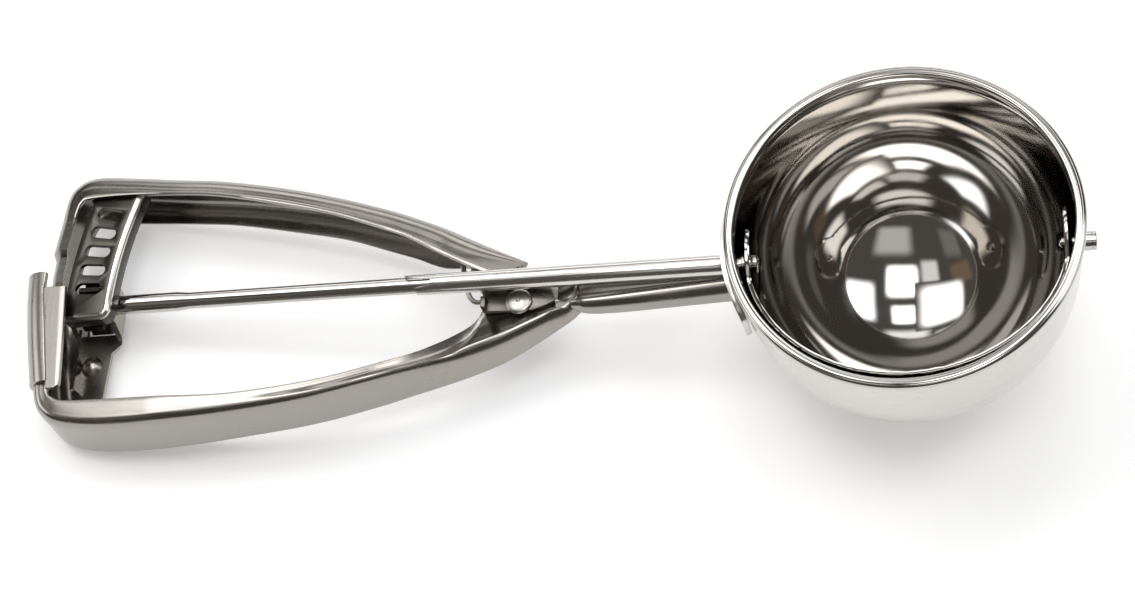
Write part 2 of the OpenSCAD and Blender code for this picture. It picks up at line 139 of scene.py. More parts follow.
overhead("window left", (-0.80, -0.06), (-0.06, 0.60), 4.2)
overhead("window middle", (-0.14, -0.30), (0.28, 0.14), 5.2)
overhead("window centre", (-0.10, 0.18), (0.22, 0.48), 4.8)
overhead("window far", (-0.30, 0.52), (0.36, 0.98), 1.4)
overhead("window far left", (-1.10, 0.62), (-0.22, 1.08), 1.7)
overhead("window right", (0.34, -0.10), (0.86, 0.50), 4.2, "#F4F8FF")
overhead("front left", (-0.90, -0.95), (-0.46, -0.30), 0.15)
overhead("window front", (-0.40, -0.36), (-0.12, 0.0), 1.0)
overhead("front right", (-0.12, -0.95), (0.50, -0.34), 0.6)
softbox("side right", (1.10, 0.10, 0.50), (0.05, 0, 0.02), (0.9, 0.7), 1.6, "#FFF9F2")
softbox("side left", (-1.20, 0.10, 0.50), (-0.05, 0, 0.02), (0.9, 0.7), 2.2)
softbox("back", (0.0, 1.25, 0.46), (0, 0, 0.02), (1.8, 0.6), 1.9)
softbox("warm wall", (-0.75, -0.12, 0.9), (0, 0, 0.02), (0.4, 0.4), 0.3, "#B08A62")

bpy.ops.mesh.primitive_plane_add(size=2.4)
paper = bpy.context.object
paper.name = "white_paper"
paper_stock = bpy.data.materials.new("white paper")
paper_stock.use_nodes = True
paper_shader = paper_stock.node_tree.nodes["Principled BSDF"]
paper_shader.inputs["Base Color"].default_value = linear("#FBFBFB")
paper_shader.inputs["Roughness"].default_value = 0.9
paper_shader.inputs["Specular IOR Level"].default_value = 0.1
# the table under the paper is lit too, which thins the shadows
paper_shader.inputs["Emission Color"].default_value = linear("#FFFFFF")
paper_shader.inputs["Emission Strength"].default_value = 0.25
paper.data.materials.append(paper_stock)


# ---- bowl ----
# Deep-drawn 18/10 stainless cup with its edge rolled outwards. The inside and the rim are
# buffed to a mirror, and the outside keeps a finer satin polish.

sweep = next(j for j in frame["joints"] if j["name"] == "sweep")
TILT = math.atan2(sweep["axis"][2], sweep["axis"][0])
TO_TABLE = Matrix.Translation(sweep["pos_m"]) @ Matrix.Rotation(-TILT, 4, "Y") \
    @ Matrix.Scale(0.001, 4)


def only(piece):
    """Selects one object alone and makes it active."""
    bpy.ops.object.select_all(action="DESELECT")
    piece.select_set(True)
    bpy.context.view_layer.objects.active = piece


def edit(piece, mode="VERT"):
    """Opens a piece in edit mode with everything selected."""
    only(piece)
    bpy.ops.object.mode_set(mode="EDIT")
    bpy.ops.mesh.select_mode(type=mode)
    bpy.ops.mesh.select_all(action="SELECT")


def done(piece):
    """Leaves edit mode and hands the piece on."""
    bpy.ops.object.mode_set(mode="OBJECT")
    return piece


def named(name):
    """The primitive that was added last, under its own name."""
    piece = bpy.context.object
    piece.name = piece.data.name = name
    return piece


def modify(piece, kind, **settings):
    """Adds a modifier with its settings and applies it."""
    only(piece)
    step = piece.modifiers.new(kind.lower(), kind)
    for key, value in settings.items():
        setattr(step, key, value)
    bpy.ops.object.modifier_apply(modifier=step.name)


def arc(x, r, radius, start, end, count=6):
    """Points on an arc around (x, r), from start to end in degrees."""
    return [(x + radius * math.cos(math.radians(start + (end - start) * i / count)),
             r + radius * math.sin(math.radians(start + (end - start) * i / count)))
            for i in range(count + 1)]


def turned(name, profile, axis="X", steps=96, closed=True):
    """A lathe-turned piece: a profile of (along, radius) points spun round the axis. An open
    profile ends on the axis."""
    bpy.ops.mesh.primitive_circle_add(vertices=len(profile))
    piece = named(name)
    for vertex, (along, radius) in zip(piece.data.vertices, profile):
        vertex.co = (along, 0, radius) if axis == "X" else (radius, 0, along)
    edit(piece)
    if not closed:
        bpy.ops.mesh.select_all(action="DESELECT")
        bpy.ops.object.mode_set(mode="OBJECT")
        last = len(profile) - 1
        for edge in piece.data.edges:
            edge.select = set(edge.vertices) == {0, last}
        bpy.ops.object.mode_set(mode="EDIT")
        bpy.ops.mesh.select_mode(type="EDGE")
        bpy.ops.mesh.delete(type="EDGE_FACE")
        bpy.ops.mesh.select_mode(type="VERT")
        bpy.ops.mesh.select_all(action="SELECT")
    bpy.ops.mesh.spin(steps=steps, angle=2 * math.pi, center=(0, 0, 0),
                      axis=(1, 0, 0) if axis == "X" else (0, 0, 1))
    bpy.ops.mesh.select_all(action="SELECT")
    bpy.ops.mesh.remove_doubles(threshold=0.002)
    bpy.ops.mesh.normals_make_consistent(inside=False)
    return done(piece)


def lay(piece, *finishes, smooth=32):
    """Shades a finished piece, lays it on the table and gives it its finishes."""
    only(piece)
    bpy.ops.object.shade_smooth_by_angle(angle=math.radians(smooth))
    piece.data.transform(TO_TABLE)
    piece.data.materials.clear()
    for finish in finishes:
        piece.data.materials.append(finish)


def fit(piece, body, slot, nodes, *finishes, smooth=32):
    """Lays a finished piece on the table and hands it to its body."""
    lay(piece, *finishes, smooth=smooth)
    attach(piece, body)
    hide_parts(*nodes)


# a noise's values lie mostly between these
NOISE_LOW, NOISE_HIGH = 0.3, 0.7
# width of the soft patches that handling leaves, in mm
PATCH = 14


def stainless(name, colour, rough, grain, streak, depth=0.0, blotch=0.04):
    """Stainless steel. grain is the size in mm of its polishing lines along the tool's X, Y
    and Z, streak how much they change the roughness, depth how deep they are in mm, and blotch
    how much handling marks change the roughness."""
    metal = bpy.data.materials.new(name)
    metal.use_nodes = True
    tree = metal.node_tree
    shader = tree.nodes["Principled BSDF"]
    shader.inputs["Metallic"].default_value = 1.0
    shader.inputs["Base Color"].default_value = linear(colour)
    place = add_node(tree, "ShaderNodeTexCoord").outputs["Object"]
    marks = add_node(tree, "ShaderNodeTexNoise", Vector=place, Scale=1000 / PATCH, Detail=2.0)
    soft = add_node(tree, "ShaderNodeMapRange", Value=marks.outputs["Fac"],
                    n1=NOISE_LOW, n2=NOISE_HIGH, n3=max(rough - blotch, 0.0), n4=rough + blotch)
    spread = add_node(tree, "ShaderNodeMapping", Vector=place, Rotation=(0, TILT, 0),
                      Scale=[1000 / g for g in grain])
    lines = add_node(tree, "ShaderNodeTexNoise", Vector=spread.outputs["Vector"], Scale=1.0,
                     Detail=3.0, Roughness=0.6)
    change = add_node(tree, "ShaderNodeMapRange", Value=lines.outputs["Fac"],
                      n1=NOISE_LOW, n2=NOISE_HIGH, n3=-streak, n4=streak)
    total = add_node(tree, "ShaderNodeMath", {"operation": "ADD"},
                     n0=soft.outputs["Result"], n1=change.outputs["Result"])
    tree.links.new(total.outputs["Value"], shader.inputs["Roughness"])
    if depth:
        bump = add_node(tree, "ShaderNodeBump", Height=lines.outputs["Fac"],
                        Strength=1.0, Distance=depth / 1000)
        tree.links.new(bump.outputs["Normal"], shader.inputs["Normal"])
    return metal


# buffed to a mirror: it shows the room almost sharply, and only faint swirl marks soften it
mirror_inside = stainless("mirror-polished 18-10 stainless", "#C6C3BF", 0.06,
                          grain=(6, 6, 6), streak=0.02, blotch=0.015)
# fine satin outside: pale and even, its reflections melt into soft gradients
satin_outside = stainless("satin-polished 18-10 stainless", "#D3D0CC", 0.24,
                          grain=(9, 9, 0.5), streak=0.05, depth=0.0015)

BOWL_R = 34.0
WALL = 1.2
RIM_Z = 14.3
BEAD = 1.0
QUARTER_STEPS = 64
inner = BOWL_R - WALL
bead_z = RIM_Z - BEAD
# up the outside, over the rolled bead and down the inside, as (height, radius)
bowl_line = arc(0, 0, BOWL_R, 180, 90, QUARTER_STEPS)
bowl_line += [(z, BOWL_R) for z in (2, 4, 6, 8, 10, 11.6)]
bowl_line += [(bead_z - 1.05, BOWL_R + 0.02)] + arc(bead_z, BOWL_R, BEAD, 160, 35, 10)
# the bead's cut edge lies against the rim in a fine groove
bowl_line += [(RIM_Z - 0.12, BOWL_R + 0.36), (RIM_Z - 0.2, BOWL_R + 0.28),
              (RIM_Z - 0.1, BOWL_R + 0.2), (RIM_Z - 0.06, BOWL_R - 0.1),
              (RIM_Z - 0.1, BOWL_R - 0.5)]
bowl_line += arc(RIM_Z - 0.45, inner + 0.4, 0.33, 20, -90, 5)
bowl_line += [(RIM_Z - 1.2, inner + 0.05), (RIM_Z - 2.0, inner + 0.04), (RIM_Z - 2.15, inner)]
bowl_line += [(z, inner) for z in (10, 8, 6, 4, 2)]
bowl_line += arc(0, 0, inner, 90, 180, QUARTER_STEPS)
bowl_line[0] = (-BOWL_R, 0)
bowl_line[-1] = (-inner, 0)
bowl = turned("bowl_shell", bowl_line, axis="Z", steps=192, closed=False)
fit(bowl, "base", "polished_steel", ["bowl"], mirror_inside, satin_outside, smooth=50)
# the satin finish is on the outside, from the bottom up to just below the bead
centre = TO_TABLE @ Vector((0, 0, 0))
up = (TO_TABLE.to_3x3() @ Vector((0, 0, 1))).normalized()
for face in bowl.data.polygons:
    spot = Vector(face.center) - centre
    height = spot.dot(up)
    radius = (spot - up * height).length if height > 0 else spot.length
    face.material_index = int(radius > (BOWL_R - 0.3) / 1000 and height < (bead_z - 1.2) / 1000)


# ---- saddle ----
# Curved plate of 1.2 mm stainless, pressed to the bowl's round and spot-welded between the bowl
# and the shank. Its two wings stand off the bowl.

SADDLE_R = BOWL_R + 2.2
SADDLE_T = 1.2
SADDLE_HALF_H = 9.5
WING_FAR = 17
WING_NEAR = 15.6
# half width of the middle, which is pressed to the bowl, and how much of it the joggle takes
SEAT_HALF = 9
JOGGLE = 2.5


def flip(piece):
    """Turns a sheet's faces over, so that its thickness goes to the other side."""
    edit(piece)
    bpy.ops.mesh.flip_normals()
    done(piece)


bpy.ops.mesh.primitive_grid_add(x_subdivisions=48, y_subdivisions=20, size=2)
saddle = named("saddle")
for vertex in saddle.data.vertices:
    u, v = vertex.co.x, vertex.co.y
    wing = WING_FAR if u > 0 else WING_NEAR
    y = wing * math.sin(u * math.pi / 2)
    # the upper edge stays full towards the wings' tips, and the lower edge is drawn in sooner
    z = -0.5 + v * SADDLE_HALF_H * max(1 - (y / wing) ** 2, 0.0) ** (0.25 if v > 0 else 0.6)
    reach = SADDLE_R - 0.5 * (y / wing) ** 2
    vertex.co = (-math.sqrt(reach ** 2 - y * y - min(z, 0) ** 2), y, z)
edit(saddle)
bpy.ops.mesh.remove_doubles(threshold=0.01)
bpy.ops.mesh.normals_make_consistent(inside=False)
done(saddle)
if sum(face.normal.x for face in saddle.data.polygons) > 0:
    flip(saddle)
modify(saddle, "SOLIDIFY", thickness=SADDLE_T, offset=-1)
for vertex in saddle.data.vertices:
    flat = Vector((vertex.co.x, vertex.co.y, min(vertex.co.z, 0)))
    if flat.length < SADDLE_R - SADDLE_T / 2 and abs(vertex.co.y) < SEAT_HALF:
        ease = min(1.0, (SEAT_HALF - abs(vertex.co.y)) / JOGGLE)
        reach = flat.length + (BOWL_R + 0.02 - flat.length) * ease
        vertex.co.x *= reach / flat.length
        vertex.co.y *= reach / flat.length
modify(saddle, "BEVEL", width=0.25, segments=2, limit_method="ANGLE", angle_limit=math.radians(50))
fit(saddle, "base", "satin_steel", ["saddle_plate"], satin_outside)


# ---- sweeper blade and its cap ----
# Spring-tempered stainless strip that follows the bowl's inside. A turned cap closes the rod
# over its left lug.

BLADE_R = inner - 0.4
BLADE_T = 0.8
LUG_R = 8.5
HALF_W = 4.5
REST = math.radians(11)
# share of the sheet's columns that lie between the two lugs' pins
BETWEEN = 0.8
bpy.ops.mesh.primitive_grid_add(x_subdivisions=200, y_subdivisions=12, size=2)
blade = named("sweeper_strip")
for vertex in blade.data.vertices:
    u, v = vertex.co.x, vertex.co.y
    # distance from the lug's pin, less than nothing past it, where the columns crowd together
    if abs(u) > BETWEEN:
        distance = -LUG_R * math.sin((abs(u) - BETWEEN) / (1 - BETWEEN) * math.pi / 2)
        half = math.sqrt(max(LUG_R ** 2 - distance ** 2, 0.0))
    else:
        distance = (BETWEEN - abs(u)) / BETWEEN * math.pi / 2 * BLADE_R
        half = (max(LUG_R ** 2 - distance ** 2, 0.0) ** 3 + HALF_W ** 6) ** (1 / 6)
    along = math.pi * 1.5 + math.copysign(math.pi / 2 - distance / BLADE_R, u)
    lift = math.asin(v * half / BLADE_R)
    vertex.co = (BLADE_R * math.cos(lift) * math.cos(along),
                 BLADE_R * math.cos(lift) * math.sin(along), BLADE_R * math.sin(lift))
edit(blade)
bpy.ops.mesh.remove_doubles(threshold=0.02)
bpy.ops.mesh.normals_make_consistent(inside=False)
done(blade)
middle = min(blade.data.polygons, key=lambda face: face.center.y)
if middle.normal.y > 0:
    flip(blade)
modify(blade, "SOLIDIFY", thickness=BLADE_T, offset=-1)
modify(blade, "BEVEL", width=0.18, segments=2, limit_method="ANGLE", angle_limit=math.radians(50))
blade.data.transform(Matrix.Rotation(-REST, 4, "X"))
fit(blade, "rotor", "polished_steel", ["sweeper_blade"], mirror_inside)

# the rod's end inside the cap, and the cap's bore round it
STUB_R = 1.2
CAP_BORE = STUB_R + 0.02
cap = turned("blade_end_cap",
             [(-BLADE_R + 0.7, CAP_BORE), (-BLADE_R + 0.7, 1.9), (-BLADE_R + 0.85, 2.0)]
             + arc(-BLADE_R + 2.2, 1.5, 0.5, 90, 0, 5) + [(-BLADE_R + 2.7, CAP_BORE)], steps=64)
fit(cap, "rotor", "polished_steel", ["blade_cap"], mirror_inside)


# ---- tip pin ----
# Stainless nub, turned in one piece with its stub and riveted through the bowl's wall. The stub
# carries the blade's far end inside the bowl.

NUB_R = 1.95
NECK_R = 1.5
PIN_R = 1.14
nub_x = BOWL_R + 2.8
# the domed stub inside the blade, then the neck through the bowl's wall
stub = [(BLADE_R - 2.9, 0)] + arc(BLADE_R - 2.0, PIN_R - 0.89, 0.89, 170, 90, 6)
stub += [(BLADE_R + 0.3, PIN_R), (BLADE_R + 0.3, NECK_R), (BOWL_R - 0.1, NECK_R),
         (BOWL_R - 0.1, NUB_R)]
# the nub, with a turned groove and a shallow centre mark in its end
stub += [(nub_x - 1.0, NUB_R), (nub_x - 0.9, NUB_R - 0.12), (nub_x - 0.75, NUB_R - 0.12),
         (nub_x - 0.65, NUB_R)]
stub += arc(nub_x - 0.3, NUB_R - 0.3, 0.3, 90, 0, 4)
stub += [(nub_x, 0.9), (nub_x - 0.12, 0.7), (nub_x - 0.12, 0)]
tip = turned("tip_nub", stub, steps=64, closed=False)
fit(tip, "base", "polished_steel", ["tip_pin"], mirror_inside)


# ---- guide tube and drive rod ----
# Bright-drawn stainless rod that turns inside a thin welded tube. The tube is soldered into the
# bowl's saddle. Its far end is cut slantwise, with a notch in the near side.

ROD_R = 1.8
ROD_THICK_R = 2.1
TUBE_R = 2.2
TUBE_BORE = ROD_R + 0.06
TUBE_END = -105.0
SLANT = math.radians(35)
NOTCH = 6.4
# the rivet that the moving handle turns on, seen from above, and the rack's radius around it
PIVOT = (-80.6, -3.5)
RACK_R = 93.5
# where the rack's arc crosses the rod
PINION_X = PIVOT[0] - math.sqrt(RACK_R ** 2 - PIVOT[1] ** 2)
# bright-drawn and polished: long sharp reflections with faint drawing lines along the rod
bright_drawn = stainless("bright-drawn stainless", "#C6C3BF", 0.12, grain=(60, 0.25, 0.25),
                         streak=0.03, blotch=0.02)
# the tube is only drawn, not polished: paler, and its reflections are broad and soft
satin_drawn = stainless("satin-drawn stainless", "#D2CFCB", 0.2, grain=(60, 0.3, 0.3),
                        streak=0.03, blotch=0.02)


def cutter(corners, low, high):
    """A prism over the corners of an outline, to cut with."""
    bpy.ops.mesh.primitive_circle_add(vertices=len(corners), fill_type="NGON")
    prism = bpy.context.object
    for vertex, (x, y) in zip(prism.data.vertices, corners):
        vertex.co = (x, y, low)
    edit(prism, "FACE")
    bpy.ops.mesh.extrude_region_move(TRANSFORM_OT_translate={"value": (0, 0, high - low)})
    bpy.ops.mesh.select_all(action="SELECT")
    bpy.ops.mesh.normals_make_consistent(inside=False)
    return done(prism)


def cut(piece, tools):
    """Cuts each tool out of a piece and takes the tool away."""
    for tool in tools:
        modify(piece, "BOOLEAN", object=tool, operation="DIFFERENCE", solver="EXACT")
        bpy.data.objects.remove(tool)


# two rings past the cut end keep the shading of its bevel off the rest of the tube
tube = turned("rod_guide_tube", [(TUBE_END, TUBE_BORE), (TUBE_END, TUBE_R),
                                 (TUBE_END + 3.8, TUBE_R), (TUBE_END + NOTCH + 0.4, TUBE_R),
                                 (-BOWL_R + 1.4, TUBE_R), (-BOWL_R + 1.4, TUBE_BORE)])
edit(tube)
bpy.ops.mesh.bisect(plane_co=(TUBE_END + 0.2, TUBE_R, 0),
                    plane_no=(math.cos(SLANT), math.sin(SLANT), 0), use_fill=True,
                    clear_inner=True)
done(tube)
# the notch lies between an upper and a lower lip
cut(tube, [cutter([(TUBE_END - 1, 0.34), (TUBE_END + NOTCH, 0.34), (TUBE_END + NOTCH, -0.9),
                   (TUBE_END + NOTCH / 2, -1.5), (TUBE_END - 1, -1.5)], 0, 4)])
modify(tube, "BEVEL", width=0.12, segments=2, limit_method="ANGLE", angle_limit=math.radians(40))
fit(tube, "base", "polished_steel", ["guide_tube"], satin_drawn)

# the thicker part beside the pinion
thick = (PINION_X + 4.5, PINION_X + 18.1)
rod_start = PINION_X - 8.1
profile = [(rod_start, 0), (rod_start, ROD_R - 0.35), (rod_start + 0.35, ROD_R),
           (thick[0] - 0.2, ROD_R), (thick[0], ROD_THICK_R), (thick[1], ROD_THICK_R),
           (thick[1] + 3, ROD_R), (-BLADE_R + 0.2, ROD_R), (-BLADE_R + 0.2, STUB_R),
           (-BLADE_R + 2.2, STUB_R), (-BLADE_R + 2.4, STUB_R - 0.2), (-BLADE_R + 2.4, 0)]
rod = turned("drive_shaft", profile, closed=False)
fit(rod, "rotor", "polished_steel", ["drive_rod"], bright_drawn)


# ---- fixed handle ----
# One blank of 1.2 mm stainless folded into an open channel, with a flat web under the rivet
# and a crimped neck. Its fold is ground round and the whole is belt-polished lengthwise.

def through(a, b, c, d, t):
    """A point on the smooth run from b to c."""
    return [0.5 * (2 * q + (r - p) * t + (2 * p - 5 * q + 4 * r - s) * t * t
                   + (3 * q - p - 3 * r + s) * t ** 3) for p, q, r, s in zip(a, b, c, d)]


def stations(keys, count):
    """Rows on the smooth run through the key rows, with count of them to each span."""
    last = len(keys) - 1
    rows = [through(keys[max(i - 1, 0)], keys[i], keys[i + 1], keys[min(i + 2, last)], j / count)
            for i in range(last) for j in range(count)]
    return rows + [list(keys[last])]


# thickness of the handles' sheet, and rounding of its free edges
SHEET = 1.2
EDGE = 0.35


def channel(w, edge_top, low, radius, skip, crown, rise, lean):
    """The closed outline of a folded channel, from the upper flange's free edge to the wall at
    w. The lower flange starts at skip. The fold lies lower than the upper edge by crown or
    stands higher by rise, and the wall leans in by lean towards the top."""
    top = edge_top + rise
    upper = min(radius - 0.1 * rise, (top - low) / 2 - 0.1, w - 0.3)
    lower = min(upper, w - max(skip, 0) - 0.05)
    upper_in = max(upper - SHEET, 0.15)
    lower_in = max(lower - SHEET, 0.12)
    flat = max(w - upper, 0.05)
    near = min(EDGE, flat * 0.3)
    drop = min(crown, crown * flat / 2.5)
    line = [(0.0, edge_top - EDGE), (near * 0.3, edge_top - 0.1), (near, edge_top - drop * 0.05)]
    # across the flange: it climbs to the fold on a smooth step and falls off by its crown
    ramp = []
    for k in (0.2, 0.4, 0.55, 0.66, 0.74, 0.81, 0.88, 0.94):
        up = min(max((k - 0.36) / 0.66, 0), 1)
        ramp.append((near + (flat - near) * k,
                     edge_top + rise * up * (0.65 + 0.35 * up * (3 - 2 * up)) - drop * k ** 1.3))
    line += ramp
    line += [(u, z - drop * (z - top + upper) / upper)
             for u, z in arc(w - upper, top - upper, upper, 90, 0, 12)]
    line += arc(w - lower, low + lower, lower, 0, -90, 12)
    reach = max(min(w - lower, w - 0.1) - skip, 0.02)
    round_off = min(EDGE, reach * 0.4)
    line += [(skip + reach * 0.5, low), (skip + round_off, low), (skip, low + EDGE),
             (skip, low + SHEET - EDGE), (skip + round_off, low + SHEET),
             (skip + reach * 0.5, low + SHEET)]
    line += arc(w - SHEET - lower_in, low + SHEET + lower_in, lower_in, -90, 0, 8)
    line += arc(w - SHEET - upper_in, top - SHEET - upper_in, upper_in, 0, 90, 8)
    line += [(u - min(rise, SHEET) / 2, z - SHEET) for u, z in ramp[::-1][1:7]]
    line += [(near, edge_top - SHEET), (0.0, edge_top - SHEET + EDGE)]
    # a raised fold leans further, and a narrow row leans less
    lean = (lean + 0.25 * rise) * min(w / 7, 1)
    return [(u - lean * (max(u, 0) / w) ** 3 * (z - low) / (top - low), z) for u, z in line]


def folded(name, rows, radius, highest, crown=0.0, lean=0.0):
    """A sheet folded to a channel along rows of
    [edge x, edge y, wall x, wall y, top, bottom, skip, rise], where the rise may be left out."""
    rings = []
    for ex, ey, wx, wy, top, low, skip, *rise in rows:
        across = Vector((wx - ex, wy - ey))
        w = across.length
        across = across / w
        shape = channel(w, min(top, highest), low, radius, skip, crown, sum(rise), lean)
        ring = [(ex + across.x * u, ey + across.y * u, z) for u, z in shape]
        rings.append(ring + [ring[0]])
    count = len(rings[0])
    bpy.ops.mesh.primitive_grid_add(x_subdivisions=count - 1, y_subdivisions=len(rings) - 1)
    piece = named(name)
    for vertex in piece.data.vertices:
        vertex.co = rings[vertex.index // count][vertex.index % count]
    edit(piece)
    bpy.ops.mesh.remove_doubles(threshold=0.0005)
    bpy.ops.mesh.select_all(action="DESELECT")
    bpy.ops.mesh.select_non_manifold()
    bpy.ops.mesh.fill_holes(sides=0)
    bpy.ops.mesh.select_all(action="SELECT")
    bpy.ops.mesh.normals_make_consistent(inside=False)
    return done(piece)


# belt-polished along the handle: soft, lengthwise-blurred reflections and faint long lines
belt_polished = stainless("belt-polished 18-10 stainless", "#9B9792", 0.24,
                          grain=(30, 0.8, 0.8), streak=0.03, depth=0.0007)
# levels at the far end: the rack plate, the moving handle on it, and this handle
PITCH_R = 5.73
RACK_TOP = PITCH_R + 0.92
MOVING_TOP = RACK_TOP + SHEET
FIXED_TOP = MOVING_TOP + 0.15
FIXED_LOW = -7.4
# levels at the rivet, from the top: moving handle, pivot plate, washer and this handle's lug
WEB_TOP = -2.6
PIVOT_PLATE_LOW = WEB_TOP - 2 * SHEET
WASHER_T = 0.3
LUG_TOP = PIVOT_PLATE_LOW - WASHER_T
# this handle's lowest level, beside the rivet
PAN_LOW = -11.2


def from_pinion(keys):
    """Rows whose x counts from the pinion."""
    return [[k[0] + PINION_X, k[1], k[2] + PINION_X] + list(k[3:]) for k in keys]


fixed_keys = [
    [-68, -0.8, -68, -5.9, -2.8, -8.5, 0, 0], [-71, -0.2, -70.4, -7.8, LUG_TOP, -9, 3, 1.6],
    [-74, 0.6, -75.4, -10.8, LUG_TOP, -9.8, 7, 2.7],
    [-81.5, 1, -84, -15.4, LUG_TOP, -10.6, 11, 3.7],
    [-87.3, -1.6, -91, -17.8, LUG_TOP, PAN_LOW, 11.5, 3.8],
    [-90.8, -7.8, -96.8, -19.5, -4.4, PAN_LOW, 8, 3.1],
    [-99.4, -14, -104, -21.7, -0.9, -10.8, 5, 1.7],
    [-108.5, -17.8, -112, -24.4, 1.7, -10, 3.2, 1.3],
    [-122, -21.8, -125, -27.8, 4, -9, 1.8, 0.7], [-139, -24.7, -141, -30.4, 6.4, -8, 1, 0.2],
] + from_pinion([
    [19.03, -25.2, 18.03, -32.2, FIXED_TOP, FIXED_LOW, 0, 0],
    [6.03, -25.2, 4.63, -32.4, FIXED_TOP, FIXED_LOW, -1.6, 0],
    [-1.57, -25, -3.57, -31, FIXED_TOP, FIXED_LOW, -1.6, 0],
    [-4.17, -24, -7.77, -28.2, FIXED_TOP, FIXED_LOW, -1, 0],
    [-5.17, -22.8, -9.77, -24.8, FIXED_TOP, FIXED_LOW, 0, 0],
    [-5.57, -21, -10.57, -21, FIXED_TOP, FIXED_LOW, 0, 0],
])
# rows to each span between two key rows
HANDLE_STEPS = 9
fixed = folded("fixed_grip", stations(fixed_keys, HANDLE_STEPS), radius=3.3, highest=FIXED_TOP,
               crown=0.3, lean=1.6)
fit(fixed, "base", "satin_steel", ["fixed_handle"], belt_polished)


# ---- end guard ----
# The fixed handle's far end, folded from 1.2 mm stainless and polished across. Its upper tab
# covers the moving handle's tongue.

# polished across the tool, so its lines run along Y
cross_polished = stainless("cross-polished 18-10 stainless", "#A29E99", 0.25,
                           grain=(0.6, 24, 0.6), streak=0.02, depth=0.0004)
# the tab's underside clears the moving handle's upper face by 0.4 mm
GUARD_TOP = MOVING_TOP + 0.4 + SHEET
GUARD_LOW = -8.2
GUARD_STEPS = 12
guard_x = PINION_X - 10.57
guard_keys = [
    [guard_x + 8.9, -23.2, guard_x + 0.45, -23.2, GUARD_TOP, GUARD_LOW - 0.7, 2],
    [guard_x + 8.6, -21, guard_x, -21, GUARD_TOP, GUARD_LOW - 0.6, 2],
    [guard_x + 7.9, -12, guard_x - 1.9, -12, GUARD_TOP, GUARD_LOW - 0.35, 2],
    [guard_x + 7, -2, guard_x - 3.6, -2, GUARD_TOP, GUARD_LOW - 0.1, 2],
    [guard_x + 6.4, 4.6, guard_x - 4.25, 4.6, GUARD_TOP, GUARD_LOW, 2],
]
guard = folded("end_guard_cover", stations(guard_keys, GUARD_STEPS), radius=4.8, highest=GUARD_TOP)


def block(x0, y0, x1, y1):
    """The corners of a rectangle."""
    return [(x0, y0), (x1, y0), (x1, y1), (x0, y1)]


def by_guard(corners, low, high):
    """A cutter whose x counts from the guard's joint with the handle."""
    return cutter([(guard_x + x, y) for x, y in corners], low, high)


cut(guard, [by_guard(block(1.6, 0.9, 16, 8), 4, 12),
            # past the joint with the handle only the tab goes on, over the handle's corner
            by_guard(block(-6, -25, 5.5, -21), -13, 12),
            by_guard(block(5.4, -25, 24, -21), -13, 6),
            by_guard([(8.7, -21.2), (10, -20.4), (10, -24), (5.3, -24), (5.3, -22.8),
                      (7.5, -22.7), (8.3, -22.2)], 6, 12),
            # pressed line between the rounded wall and the flat tab
            by_guard([(1.4, 0.95), (1.65, 0.95), (5.6, -20.9), (5.35, -20.9)],
                     GUARD_TOP - 0.4, GUARD_TOP + 1)])
modify(guard, "BEVEL", width=0.15, segments=2, limit_method="ANGLE", angle_limit=math.radians(50))
fit(guard, "base", "satin_steel", ["end_guard"], cross_polished)


# ---- moving handle ----
# The second channel, folded from 1.2 mm stainless the other way round. Its end is joggled down
# to a narrow tongue that slides inside the guard.

moving_keys = [
    [-85, 1.6, -79.2, 5.6, WEB_TOP, -5.4, 5], [-92.5, 5.6, -88.8, 11.2, WEB_TOP, -10.6, 3],
    [-99.5, 9.4, -97.6, 16, WEB_TOP, -12.2, 0], [-106, 12.6, -105, 18.6, -0.8, -11.4, -0.8],
    [-111.5, 14.2, -111, 20.2, 1, -10.4, -0.8], [-121.5, 17.2, -121.5, 22.8, 3, -9, -0.8],
    [-133, 19.4, -133.5, 25, 5.2, -8, -0.8], [-146, 21.4, -146.5, 26.6, 7.2, -7, -0.6],
] + from_pinion([
    [18.03, 22.2, 18.03, 27.4, MOVING_TOP, -6.6, -0.4],
    [6.03, 22.8, 7.03, 28.8, MOVING_TOP, -6.6, 0],
    [-2.37, 22.6, -2.27, 29.6, MOVING_TOP, -6.6, 1],
    [-3.97, 21.7, -6.77, 27.8, MOVING_TOP, -6.6, 2],
    [-4.57, 20, -8.77, 24.4, MOVING_TOP, -6.6, 3],
    [-5.17, 16, -9.57, 18, MOVING_TOP, -6.6, 3.2],
    [-5.87, 10.6, -10.27, 10.6, MOVING_TOP, -6.2, 2.9],
])
TONGUE_TOP = 6.2
TONGUE_LOW = -5.8
tongue = from_pinion([[-6.27, 9.4, -10.17, 9.4, TONGUE_TOP, TONGUE_LOW, 2.4],
                      [-6.57, 5.6, -10.17, 5.6, TONGUE_TOP, TONGUE_LOW, 2.1],
                      [-6.57, 1, -9.97, 1, TONGUE_TOP, TONGUE_LOW, 2]])
moving = folded("moving_grip", stations(moving_keys, HANDLE_STEPS) + tongue, radius=4.5,
                highest=MOVING_TOP, crown=0.5)
fit(moving, "moving", "satin_steel", ["moving_handle"], belt_polished)


# ---- shank ----
# The handle's blank rolled into a tube, pinched at the crimp and flared towards the saddle,
# with its upper lip left standing beside the tube.

SHANK_WALL = 1.0
SIDES = 64
SHANK_STEPS = 8
# the seam: a narrow crease along the tube's upper far side, in degrees from level
SEAM_AT = 62
SEAM_WIDTH = 9
SEAM_DEPTH = 0.16
